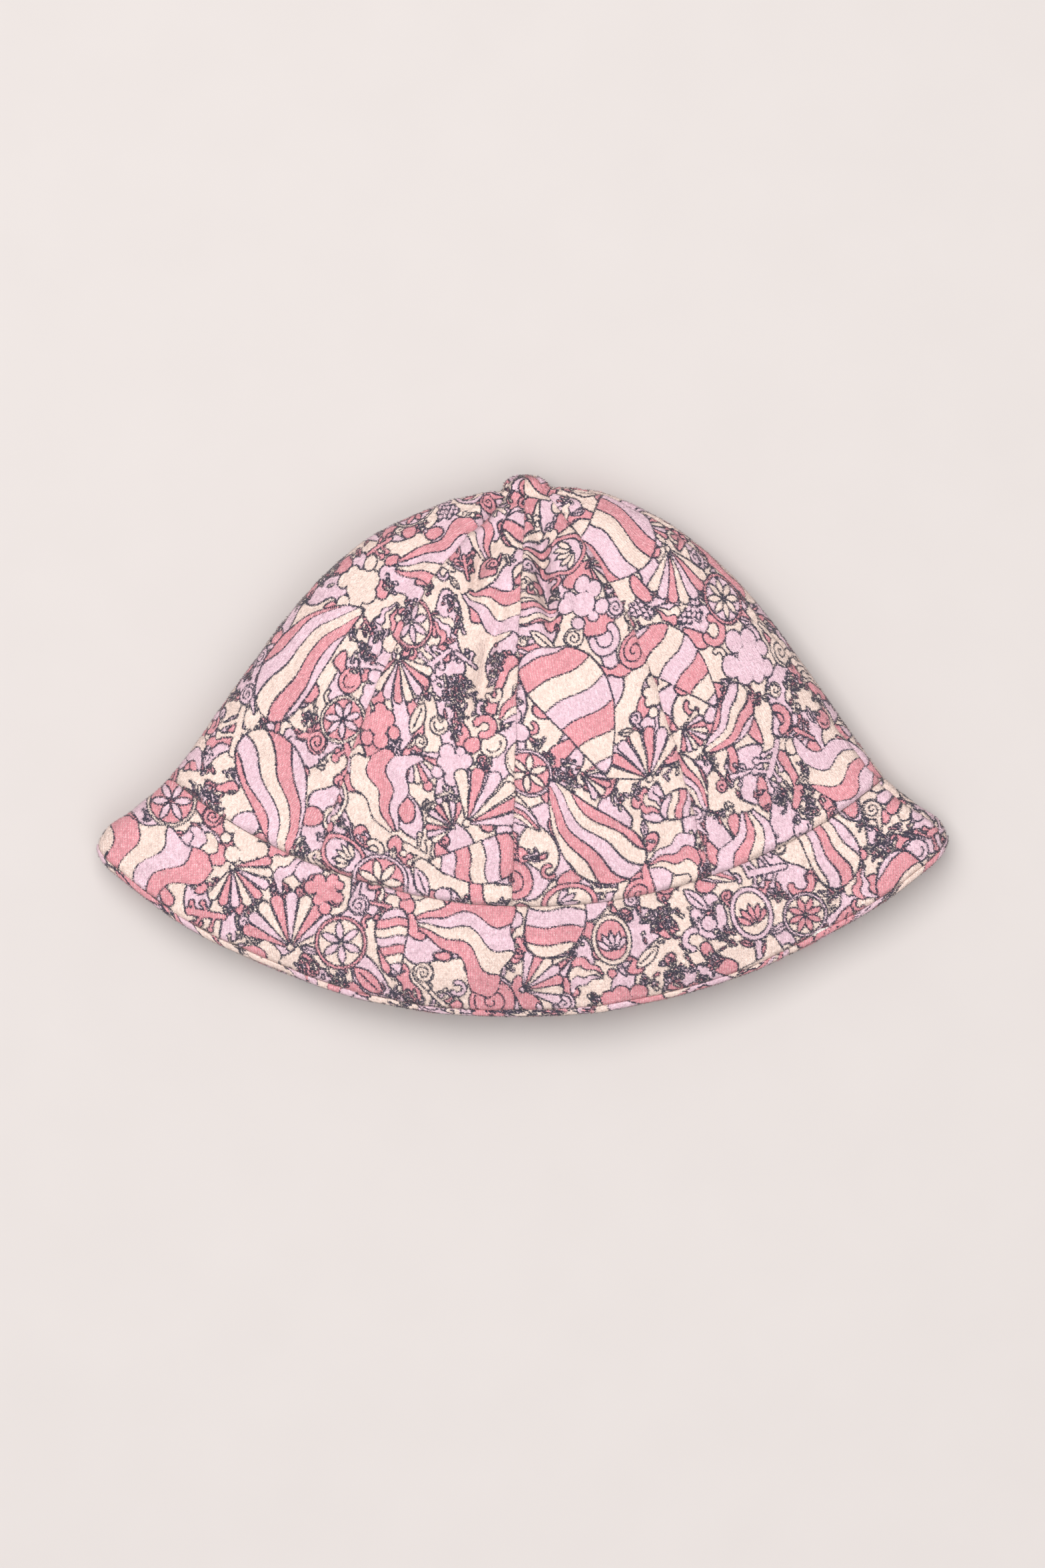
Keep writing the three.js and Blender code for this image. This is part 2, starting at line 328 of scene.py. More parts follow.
def curl(ink, x, y, size, rng):
    """Coiled scroll with a tail."""
    tone = int(tones_of(rng)[0])
    hand = rng.choice([-1, 1])
    radius = 0.7 * size
    coil = disc(x, y, radius)
    tail = taper(x, y + 0.62 * radius, (hand * 1.15 * size, -0.55 * size), 0.38 * radius, 0.1 * size)
    fill(ink, np.minimum(coil, tail), tone)
    pitch = max(0.44 * radius, 1.5)
    angle = np.arctan2(hand * y, x) / (2 * math.pi)
    rings = np.abs((np.hypot(x, y) / pitch - angle + 0.5) % 1 - 0.5) * pitch
    stroke(ink, np.maximum(rings, np.hypot(x, y) - 0.85 * radius), coil)


def banded(ink, x, y, size, rng):
    """Bowed teardrop with wavy bands of the three colours, mostly lengthwise."""
    tones = tones_of(rng)
    narrow = 1 - 0.45 * np.clip(x / size, -1.2, 1.2)
    bent = (y - 0.16 * x**2 / size) / narrow
    shape = oval(x, bent, 1.2 * size, 0.56 * size) * np.minimum(narrow, 1)
    fill(ink, shape, tones[0])
    lengthwise = rng.random() < 0.7
    if lengthwise:
        pitch = rng.uniform(0.22, 0.28) * size
        bands = bent + 0.05 * size * np.sin(5 * x / size)
    else:
        pitch = rng.uniform(0.32, 0.42) * size
        bands = x + 0.04 * size * np.sin(6 * y / size)
    for k in range(-2, 3):
        if k % 3:
            fill(ink, np.maximum(np.abs(bands - k * pitch) - 0.5 * pitch, shape), tones[k % 3])


def branch(ink, x, y, size, rng):
    """Knobbly branching sprig with round ends."""
    tone = int(tones_of(rng)[0])
    shape = taper(x, y + 0.85 * size, (0.1 * size, 1.4 * size), 0.13 * size, 0.17 * size)
    for k in range(int(rng.integers(4, 7))):
        side = 1 if k % 2 else -1
        start = (-0.5 + 0.24 * k) * size
        end = (side * rng.uniform(0.4, 0.75) * size, rng.uniform(0.1, 0.45) * size)
        radius = rng.uniform(0.07, 0.1) * size
        knob = disc(x - end[0], y - start - end[1], 1.8 * radius)
        arm = np.minimum(taper(x, y - start, end, radius, radius), knob)
        shape = np.minimum(shape, arm)
    fill(ink, shape, tone)


def hook(ink, x, y, size, rng):
    """Thick round-ended crescent."""
    radius = 0.62 * size
    thick = rng.uniform(0.2, 0.3) * size
    half = rng.uniform(1.2, 2.3)
    angle = np.abs(np.arctan2(x, y))
    ends = np.hypot(np.abs(x) - radius * math.sin(half), y - radius * math.cos(half))
    round_part = np.abs(np.hypot(x, y) - radius)
    fill(ink, np.where(angle < half, round_part, ends) - thick, int(tones_of(rng)[0]))


def medallion(ink, x, y, size, rng):
    """Oval ring that holds a few leaves."""
    tones = tones_of(rng)
    fill(ink, oval(x, y, 0.78 * size, size), tones[0])
    inner = oval(x, y, 0.6 * size, 0.8 * size)
    fill(ink, inner, tones[1])
    for k in range(5):
        px, py = turn(x, y + 0.5 * size, (k - 2) * 0.42)
        petal = leaf_shape(py - 0.5 * size, px, 0.36 * size, 0.12 * size)
        fill(ink, np.maximum(petal, inner + 0.4), tones[2])


def scales(ink, x, y, size, rng):
    """Ragged patch of fine nested arcs, which reads as a darker tone."""
    angle = np.arctan2(y, x)
    uneven = 1 + 0.22 * np.sin(3 * angle + rng.uniform(0, 6)) + 0.12 * np.sin(7 * angle)
    shape = oval(x / uneven, y / uneven, size, 0.6 * size)
    fill(ink, shape, int(tones_of(rng)[0]))
    pitch = 1.3
    row = np.floor(y / pitch)
    px = (x + (row % 2) * pitch) % (2 * pitch) - pitch
    stroke(ink, np.abs(np.hypot(px, y - row * pitch) - pitch), shape)


def thicket(ink, x, y, size, rng):
    """Tangle of little round-ended strokes, packed so close that their outlines run together."""
    tones = tones_of(rng)
    for k in range(int(0.55 * size**2) + 6):
        cx, cy = rng.normal(0, 0.36 * size, 2)
        px, py = turn(x - cx, y - cy, rng.uniform(0, 6.3))
        reach = rng.uniform(0.5, 2.2)
        fill(ink, taper(px, py, (0.3 * reach, reach), 0.35, rng.uniform(0.3, 0.65)), tones[k % 3])


def leaf(ink, x, y, size, rng):
    shape = leaf_shape(x, y, size, 0.4 * size)
    fill(ink, shape, int(tones_of(rng)[0]))
    stroke(ink, np.abs(y), np.maximum(shape, np.abs(x) - 0.6 * size))


def drops(ink, x, y, size, rng):
    """Loose group of droplets."""
    tone = int(tones_of(rng)[0])
    for _ in range(4):
        cx, cy = rng.uniform(-0.7, 0.7, 2) * size
        px, py = turn(x - cx, y - cy, rng.uniform(0, 6.3))
        fill(ink, taper(px, py, (0, 0.55 * size), 0.26 * size, 0.08 * size), tone)


def bead(ink, x, y, size, rng):
    fill(ink, disc(x, y, size), int(tones_of(rng)[0]))
    if size > 3:
        stroke(ink, np.abs(disc(x, y, 0.55 * size)), np.maximum(disc(x, y, size), -x))


def cloud(ink, x, y, size, rng):
    """Lumpy patch of overlapping rounds."""
    shape = disc(x, y, 0.45 * size)
    for k in range(7):
        angle = 0.9 * k + rng.uniform(-0.2, 0.2)
        reach = rng.uniform(0.4, 0.75) * size
        px, py = x - reach * math.cos(angle), y - reach * math.sin(angle)
        shape = np.minimum(shape, disc(px, py, rng.uniform(0.2, 0.34) * size))
    fill(ink, shape, int(tones_of(rng)[0]))


# Motifs by size in mm: the largest are laid out first and the small ones fill what is left between.
# Each row has its motifs, their smallest and largest size, the share of two sizes that neighbours keep
# apart, and the mm2 of cloth for each try.
MOTIFS = (
    ((plume, banded, plume, banded, plume), 13.0, 20.0, 0.92, 1100),
    ((thicket, plume, wheel, cloud, curl, banded, branch, thicket, fan, medallion), 7.5, 11.0, 0.84, 30),
    ((thicket, curl, branch, fan, plume, leaf, scales, thicket, hook, curl, branch), 4.6, 7.2, 0.8, 5),
    ((hook, branch, thicket, curl, leaf, drops, thicket, bead), 2.6, 4.2, 0.8, 2.5),
    ((bead, drops, leaf), 1.3, 2.1, 0.95, 3),
)


def blob_field(x, y, rng, wavelength, level):
    """Signed distance, roughly, to soft random blobs."""
    total = np.zeros_like(x)
    slope_x = np.zeros_like(x)
    slope_y = np.zeros_like(x)
    waves = 9
    for _ in range(waves):
        angle = rng.uniform(0, 2 * math.pi)
        k = 2 * math.pi / (wavelength * rng.uniform(0.7, 1.4))
        kx, ky = k * math.cos(angle), k * math.sin(angle)
        phase = kx * x + ky * y + rng.uniform(0, 2 * math.pi)
        total += np.cos(phase)
        slope_x -= kx * np.sin(phase)
        slope_y -= ky * np.sin(phase)
    scale = math.sqrt(2 / waves)
    slope = np.hypot(slope_x, slope_y) * scale + 0.08
    return (level - total * scale) / slope


def scatter(x, y, rng):
    """Seeded places for the motifs over the cloth: (motif, x, y, size), the largest last."""
    low, high = (x.min(), y.min()), (x.max(), y.max())
    area = (high[0] - low[0]) * (high[1] - low[1])
    spots = []
    for motifs, smallest, largest, crowding, spread in MOTIFS:
        order = rng.permutation(len(motifs))
        for _ in range(int(area / spread)):
            cx, cy = rng.uniform(low[0], high[0]), rng.uniform(low[1], high[1])
            size = rng.uniform(smallest, largest)
            if all(math.hypot(cx - s[1], cy - s[2]) > crowding * (size + s[3]) for s in spots):
                spots.append((motifs[order[len(spots) % len(motifs)]], cx, cy, size))
    return spots[::-1]


def print_cloth(x, y, seed):
    """Ink fields over a panel: distances in mm to the nearest outline, and to coral and pink fills."""
    rng = np.random.default_rng(seed)
    ink = np.full((len(x), 3), 9.0)
    fill(ink, blob_field(x, y, rng, 17, 0.25), PINK)
    fill(ink, blob_field(x, y, rng, 13, 0.9), CORAL)
    for motif, cx, cy, size in scatter(x, y, rng):
        near = np.flatnonzero(np.hypot(x - cx, y - cy) < 1.7 * size + 3)
        px, py = turn(x[near] - cx, y[near] - cy, rng.uniform(0, 2 * math.pi))
        patch = ink[near]
        motif(patch, px, py, size, rng)
        ink[near] = patch
    return ink


# ---------------------------------------------------------------------------------------------------
# Meshes
# ---------------------------------------------------------------------------------------------------

# Section numbers where panels end: at the point of the crown, the band's upper edge and the brim seam.
SHELL_TIP = 0.04
LINING_TIP = 1.1
BAND_TOP = 8.85
CROWN_END = BRIM_SEAM - 0.008
BRIM_START = BRIM_SEAM + 0.008

# Widest part of each panel, which sets how many columns its grid has.
GORE_WIDTH = 67
LINING_WIDTH = 65
BRIM_WIDTH = 300
BAND_LENGTH = 500

# Spacing of the grids: of cloth that shows, of the under-side and of cloth inside the hat.
CLOTH_STEP = 0.55
UNDER_STEP = 0.9
HIDDEN_STEP = 1.6

# Seams: half the gap between panels, how far seams stray and how wide the pile is fuzzy beside them.
HALF_GAP = 0.05
SEAM_WANDER = 0.22
SEAM_FUZZ = 1.2

# Hem: radius of the roll, of its inner side, and how far up the top the under-side reaches.
ROLL_RADIUS = BRIM_DEPTH / 2
HOOK_INNER = 0.7
HEM_STRIP = 2.9
TURN_STEPS = 12

# Pile: fibres per mm2 and more beside seams, their length, half width, angle in degrees and spread of
# direction. None grow lower than `PRESSED`, where the hat lies on its pile.
FIBRES = 3.3
FIBRES_AT_SEAMS = 1.2
FIBRE_LENGTH = (0.55, 1.0)
FIBRE_WIDTH = 0.1
FIBRE_RAISED = (12, 36)
FIBRE_SPREAD = 0.65
SPREAD_AT_SEAMS = 1.6
FIBRE_SHADING = 0.3
FIBRE_FACES = np.array([(0, 2, 1), (0, 3, 2), (2, 3, 1), (1, 3, 0)])
PRESSED = 0.9
ROUGH = 0.05

# How far apart the shader's noise is taken for each panel, and for the fibres of one panel.
PANEL_SHIFT = 40.0
FIBRE_SHIFT = (2, 12)

# Stitches of the band: number, half a stitch as a share of the girth, distance from the band's edge in
# mm, and radius of the thread.
BAND_STITCHES = 168
HALF_STITCH = 0.00215
BAND_STITCH_INSET = 2.0
THREAD = 0.22


def wander(row, seam):
    """How far in mm a seam strays to one side of its even place, the same for both of its panels."""
    turned = 3 * seam * 2 * math.pi / GORES
    return SEAM_WANDER * (math.sin(7 * row + turned) + 0.6 * math.sin(17 * row + 2 * turned))


def girth(rows, start, end, fractions):
    """Angles at fractions of the way between two edges in gore widths, and the width of each row."""
    steps = np.linspace(0, math.pi, 241)
    angles = np.empty((len(rows), len(fractions)))
    widths = np.empty(len(rows))
    for i, row in enumerate(rows):
        loop = skin(np.full(len(steps), row), steps)
        lengths = run_lengths(loop)
        gore = lengths[-1] / (GORES / 2)
        play = min(HALF_GAP, 0.2 * gore)
        widths[i] = (end - start) * gore - 2 * play
        stray = np.interp(fractions, [0, 1], [wander(row, start), wander(row, end)])
        arc = start * gore + play + widths[i] * fractions + stray * min(1, gore / 25)
        turns = np.round(arc / (2 * lengths[-1]))
        rest = arc - turns * 2 * lengths[-1]
        angles[i] = 2 * math.pi * turns + np.sign(rest) * np.interp(np.abs(rest), lengths, steps)
    return angles, widths


def layer(rows, angles, depth, raised=0.0):
    """Points of a layer at a depth in mm below the outer surface, with its shared relief."""
    rows = np.broadcast_to(rows, angles.shape)
    points = skin(rows, angles)
    height = body_relief(rows, angles, points) + raised - depth
    points = points + skin_normals(rows, angles) * height[..., None]
    points[..., 2] = np.maximum(points[..., 2], 0)
    return points


def quads(rows, columns, first=0):
    """Faces of a grid of vertices."""
    at = first + np.arange(rows * columns).reshape(rows, columns)
    return np.stack([at[:-1, :-1], at[1:, :-1], at[1:, 1:], at[:-1, 1:]], axis=-1).reshape(-1, 4)


def rim(rows, columns, first=0):
    """Vertex numbers round a grid's edge, in the order of its outer faces."""
    at = first + np.arange(rows * columns).reshape(rows, columns)
    return np.concatenate([at[:-1, 0], at[-1, :-1], at[:0:-1, -1], at[0, :0:-1]])


def shell_mesh(name, shown, hidden):
    """Closed cloth shell between a fine grid that shows and a coarser one behind it."""
    rows, columns = shown.shape[:2]
    back_rows, back_columns = hidden.shape[:2]
    count = rows * columns
    faces = quads(rows, columns).tolist()
    faces += quads(back_rows, back_columns, count)[:, ::-1].tolist()
    edge = rim(rows, columns)
    back = rim(back_rows, back_columns, count)
    ratio = (rows - 1) // (back_rows - 1)
    for k, near in enumerate(back):
        far = back[(k + 1) % len(back)]
        run = [edge[(k * ratio + n) % len(edge)] for n in range(ratio + 1)]
        middle = (ratio + 1) // 2
        faces += [(run[n + 1], run[n], near if n < middle else far) for n in range(ratio)]
        faces.append((run[middle], near, far))
    points = np.concatenate([shown.reshape(-1, 3), hidden.reshape(-1, 3)]) * MM
    mesh = bpy.data.meshes.new(name)
    mesh.from_pydata(points, [], faces)
    mesh.shade_smooth()
    return mesh


def add_vectors(mesh, name, values, rest):
    """Vector attribute with a value for each shown vertex, and `rest` for the hidden ones."""
    data = np.tile(np.array(rest, dtype=np.float32), (len(mesh.vertices), 1))
    data[: len(values)] = values
    mesh.attributes.new(name, "FLOAT_VECTOR", "POINT").data.foreach_set("vector", data.ravel())


def place(name, mesh, material, slot, *nodes):
    """Put a mesh in the scene as a piece of the hat that stands for some of the frame's nodes."""
    piece = bpy.data.objects.new(name, mesh)
    bpy.context.scene.collection.objects.link(piece)
    mesh.materials.append(material)
    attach(piece, "root")
    if nodes:
        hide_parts(*nodes)
    return piece


def fractions_for(width, step):
    """Fractions of the way across a panel, about `step` mm apart."""
    return np.linspace(0, 1, COARSE * max(2, round(width / step / COARSE)) + 1)


def between(grid, i, j, u, v):
    """Values of a grid at places inside its cells."""
    u, v = u[:, None], v[:, None]
    near = (1 - v) * grid[i, j] + v * grid[i, j + 1]
    far = (1 - v) * grid[i + 1, j] + v * grid[i + 1, j + 1]
    return (1 - u) * near + u * far


def unit(vectors):
    return vectors / np.maximum(np.linalg.norm(vectors, axis=-1, keepdims=True), 1e-9)


def fibres(root, down, across, fuzz, rng):
    """Corners and shading normals of the fibres: slim spikes along the nap, or any way beside seams."""
    normal = unit(np.cross(down, across))
    swing = rng.normal(0, FIBRE_SPREAD, (len(root), 1)) * (1 + SPREAD_AT_SEAMS * fuzz)
    raised = np.radians(rng.uniform(*FIBRE_RAISED, (len(root), 1)))
    length = rng.uniform(*FIBRE_LENGTH, (len(root), 1))
    level = np.cos(swing) * unit(down) + np.sin(swing) * unit(np.cross(normal, down))
    side = FIBRE_WIDTH * unit(np.cross(level, normal))
    tip = root + length * (np.cos(raised) * level + np.sin(raised) * normal)
    low = root - 0.03 * normal
    corners = np.stack([low + side, low - side, root + 0.05 * normal, tip], axis=1)
    return corners, np.repeat(unit(normal + FIBRE_SHADING * level), 4, axis=0)


def velour_piece(name, node, shown, hidden, across, along, edge, seed, material):
    """Closed velour panel with its print, and its pile of fibres, which is fuzzier beside seams."""
    rng = np.random.default_rng(seed)
    fuzz = ridge(edge, SEAM_FUZZ)
    cell = np.cross(shown[1:, :-1] - shown[:-1, :-1], shown[:-1, 1:] - shown[:-1, :-1])
    density = FIBRES * (1 + FIBRES_AT_SEAMS * fuzz[:-1, :-1])
    number = rng.poisson(density * np.linalg.norm(cell, axis=-1))
    i, j = np.divmod(np.repeat(np.arange(number.size), number.ravel()), number.shape[1])
    u, v = rng.random((2, len(i)))
    free = between(shown, i, j, u, v)[:, 2] > PRESSED
    i, j, u, v = i[free], j[free], u[free], v[free]
    flat = np.stack(np.broadcast_arrays(across, along), axis=-1)
    roots = between(flat, i, j, u, v)
    x, y = np.concatenate([flat.reshape(-1, 2), roots]).T
    ink = print_cloth(x, y, seed)
    cloth = np.stack([x, y, np.full(len(x), PANEL_SHIFT * seed)], axis=-1)
    panel = len(x) - len(roots)
    cloth[panel:, 2] += rng.uniform(*FIBRE_SHIFT, len(roots))

    mesh = shell_mesh(name + "_velour", shown, hidden)
    add_vectors(mesh, "print", ink[:panel], (9, 9, 9))
    add_vectors(mesh, "cloth", cloth[:panel], (0, 0, 0))
    piece = place(name + "_velour", mesh, material, "printed_velour", node)

    down, side = shown[i + 1, j] - shown[i, j], shown[i, j + 1] - shown[i, j]
    spikes, normals = fibres(between(shown, i, j, u, v), down, side, fuzz[i, j][:, None], rng)
    faces = (FIBRE_FACES + 4 * np.arange(len(roots))[:, None, None]).reshape(-1, 3)
    pile_mesh = bpy.data.meshes.new(name + "_pile")
    pile_mesh.from_pydata(spikes.reshape(-1, 3) * MM, [], faces.tolist())
    pile_mesh.normals_split_custom_set_from_vertices(normals)
    add_vectors(pile_mesh, "print", np.repeat(ink[panel:], 4, axis=0), (9, 9, 9))
    add_vectors(pile_mesh, "cloth", np.repeat(cloth[panel:], 4, axis=0), (0, 0, 0))
    pile = place(name + "_pile", pile_mesh, material, "printed_velour")
    return piece, pile


def rough(shape, seed):
    """Small unevenness of the cloth's face."""
    return np.random.default_rng(seed).normal(0, ROUGH, shape)


class Panel:
    """Even grid over the outer surface between two section numbers and two edges in gore widths."""

    def __init__(self, top, bottom, start, end, width, step, faces_in=False):
        self.rows, self.length = even_rows(top, bottom, step)
        self.fractions = fractions_for(width, step)
        if faces_in:
            self.fractions = self.fractions[::-1]
        self.angles, widths = girth(self.rows, start, end, self.fractions)
        self.widths = widths[:, None]
        self.sides = np.minimum(self.fractions, 1 - self.fractions) * self.widths
        down = np.linspace(0, self.length, len(self.rows))
        self.along = np.broadcast_to(down[:, None], self.angles.shape)

    def surface(self):
        """Points of the grid on the plain outer surface."""
        return skin(np.broadcast_to(self.rows[:, None], self.angles.shape), self.angles)

    def shown(self, depth, raised):
        """Points of the side that shows, with the relief of this panel."""
        return layer(self.rows[:, None], self.angles, depth, raised)

    def hidden(self, depth):
        """Points of the coarser side behind it."""
        return layer(self.rows[::COARSE, None], self.angles[::COARSE, ::COARSE], depth)


def add_crown_gore(k, material):
    start = ROLL + k - GORES / 4
    panel = Panel(SHELL_TIP, CROWN_END, start, start + 1, GORE_WIDTH, CLOTH_STEP)
    edge = np.minimum(panel.sides, panel.length - panel.along)
    raised = seam_relief(edge, panel.surface()) + rough(edge.shape, 100 + k)
    shown, hidden = panel.shown(0, raised), panel.hidden(VELOUR)
    across = (panel.fractions - 0.5) * panel.widths
    name = f"crown_gore_{k + 1}"
    piece, pile = velour_piece(name, name, shown, hidden, across, panel.along, edge, 31 + k, material)


def hem_row(inset):
    """Section number that lies `inset` mm up from the hem, at the middle."""
    fine, lengths = down_front(BRIM_SEAM, HEM, 200)
    return np.interp(lengths[-1] - inset, lengths, fine)


def brim_range(k):
    """Edges of the front or the back half of the brim, in gore widths."""
    start = ROLL + (k - 0.5) * (GORES / 2)
    return start, start + GORES / 2


def add_brim_top(k, half, material):
    panel = Panel(BRIM_START, hem_row(HEM_STRIP), *brim_range(k), BRIM_WIDTH, CLOTH_STEP)
    edge = np.minimum(np.minimum(panel.sides, panel.along), panel.length - panel.along)
    points = panel.surface()
    raised = seam_relief(edge, points) + rough(edge.shape, 200 + k)
    shown, hidden = panel.shown(0, raised), panel.hidden(BRIM_VELOUR)
    across, down = points[..., 0], points[..., 1]
    name = f"brim_top_{half}"
    piece, pile = velour_piece(name, name, shown, hidden, across, down, edge, 51 + k, material)


def hook_profile(radius, end, spacing):
    """Sheet under the brim that turns up round the hem: its rows, depths and which way it faces."""
    flat_rows, _ = even_rows(BRIM_START, hem_row(ROLL_RADIUS), spacing)
    flat = [(row, ROLL_RADIUS + radius, -1) for row in flat_rows]
    turns = [math.pi * step / TURN_STEPS for step in range(1, TURN_STEPS + 1)]
    bend = [
        (hem_row(ROLL_RADIUS - radius * math.sin(t)), ROLL_RADIUS + radius * math.cos(t), -math.cos(t))
        for t in turns
    ]
    tip = [(hem_row(ROLL_RADIUS + step * end), ROLL_RADIUS - radius, 1) for step in (0.3, 0.6, 0.85, 1)]
    return np.array(flat + bend + tip)


def add_brim_under(k, half, material):
    start, end = brim_range(k)
    reach = HEM_STRIP - ROLL_RADIUS - 0.15
    shown_rows, depths, facing = hook_profile(ROLL_RADIUS, reach, UNDER_STEP).T[..., None]
    back_rows, back_depths, _ = hook_profile(HOOK_INNER, reach, UNDER_STEP)[::COARSE].T[..., None]
    fractions = fractions_for(BRIM_WIDTH, UNDER_STEP)[::-1]
    angles, widths = girth(shown_rows[:, 0], start, end, fractions)
    back_angles, _ = girth(back_rows[:, 0], start, end, fractions[::COARSE])
    points = skin(np.broadcast_to(shown_rows, angles.shape), angles)
    sides = np.minimum(fractions, 1 - fractions) * widths[:, None]
    raised = facing * (seam_relief(sides, points) + rough(angles.shape, 300 + k))
    raised[-1] -= 0.6
    shown = layer(shown_rows, angles, depths, raised)
    hidden = layer(back_rows, back_angles, back_depths)
    run = run_lengths(shown[:, len(fractions) // 2])[:, None]
    along = run - 0.003 * points[..., 0] ** 2
    name = f"brim_under_{half}"
    edge = np.broadcast_to(sides, angles.shape)
    piece, pile = velour_piece(name, name, shown, hidden, points[..., 0], along, edge, 61 + k, material)


def add_lining_gore(k, material):
    start = ROLL + k - GORES / 4
    panel = Panel(LINING_TIP, CROWN_END, start, start + 1, LINING_WIDTH, HIDDEN_STEP, faces_in=True)
    seam = 0.35 * ridge(panel.sides, 1.6)
    name = f"lining_gore_{k + 1}"
    shown, hidden = panel.shown(LINING_DEPTH + JERSEY, seam), panel.hidden(LINING_DEPTH)
    mesh = shell_mesh(name + "_jersey", shown, hidden)
    across = ((panel.fractions - 0.5) * panel.widths).ravel()
    cloth = np.stack([across, panel.along.ravel(), np.full(across.size, PANEL_SHIFT * k)], axis=-1)
    add_vectors(mesh, "cloth", cloth, (0, 0, 0))
    piece = place(name + "_jersey", mesh, material, "lining_jersey", name)


def add_band(material):
    start = ROLL - GORES / 2
    panel = Panel(BAND_TOP, CROWN_END, start, start + GORES, BAND_LENGTH, HIDDEN_STEP, faces_in=True)
    edge = np.minimum(panel.along, panel.length - panel.along)
    shown = panel.shown(BAND_DEPTH + BAND, 0.5 * ridge(edge, 0.8))
    mesh = shell_mesh("inner_band_twill", shown, panel.hidden(BAND_DEPTH))
    across = (panel.fractions * panel.widths).ravel()
    cloth = np.stack([across, panel.along.ravel(), np.zeros(across.size)], axis=-1)
    add_vectors(mesh, "cloth", cloth, (0, 0, 0))
    piece = place("inner_band_twill", mesh, material, "band_twill", "inner_band")


def add_band_stitches(material):
    """Row of short raised stitches just inside the band's upper edge."""
    fine, lengths = down_front(BAND_TOP, BRIM_SEAM, 60)
    row = np.interp(BAND_STITCH_INSET, lengths, fine)
    middles = np.linspace(0.004, 0.996, BAND_STITCHES)
    ends = np.repeat(middles, 2) + np.tile([-HALF_STITCH, HALF_STITCH], BAND_STITCHES)
    angles, _ = girth(np.array([row]), ROLL - GORES / 2, ROLL + GORES / 2, ends)
    points = layer(np.array([[row]]), angles, BAND_DEPTH + BAND + THREAD)[0]
    bars = [bar(points[i], points[i + 1], THREAD) for i in range(0, 2 * BAND_STITCHES, 2)]
    vertices = np.concatenate([part[0] for part in bars]) * MM
    corners, bar_faces = bars[0]
    faces = [[v + n * len(corners) for v in face] for n in range(BAND_STITCHES) for face in bar_faces]
    mesh = bpy.data.meshes.new("inner_band_stitches")
    mesh.from_pydata(vertices, [], faces)
    mesh.shade_smooth()
    place("inner_band_stitches", mesh, material, "tack_thread")


def bar(start, end, radius, sides=6):
    """Short round-ended bar of thread between two points."""
    axis = (end - start) / np.linalg.norm(end - start)
    across = np.cross(axis, [0.2, 0.3, 0.9])
    across /= np.linalg.norm(across)
    other = np.cross(axis, across)
    vertices = [start - axis * radius * 0.6]
    for centre in (start, end):
        for k in range(sides):
            angle = 2 * math.pi * k / sides
            vertices.append(centre + radius * (math.cos(angle) * across + math.sin(angle) * other))
    vertices.append(end + axis * radius * 0.6)
    last = 2 * sides + 1
    faces = []
    for k in range(sides):
        a, b = 1 + k, 1 + (k + 1) % sides
        faces += [(0, b, a), (a, b, b + sides, a + sides), (last, a + sides, b + sides)]
    return np.array(vertices), faces


# ---------------------------------------------------------------------------------------------------
# Materials
# ---------------------------------------------------------------------------------------------------

CREAM_DYE = (0.86, 0.66, 0.585)
PINK_DYE = (0.785, 0.535, 0.62)
CORAL_DYE = (0.72, 0.285, 0.325)
INK_DYE = (0.017, 0.020, 0.042)
YARN = (0.97, 0.90, 0.90)


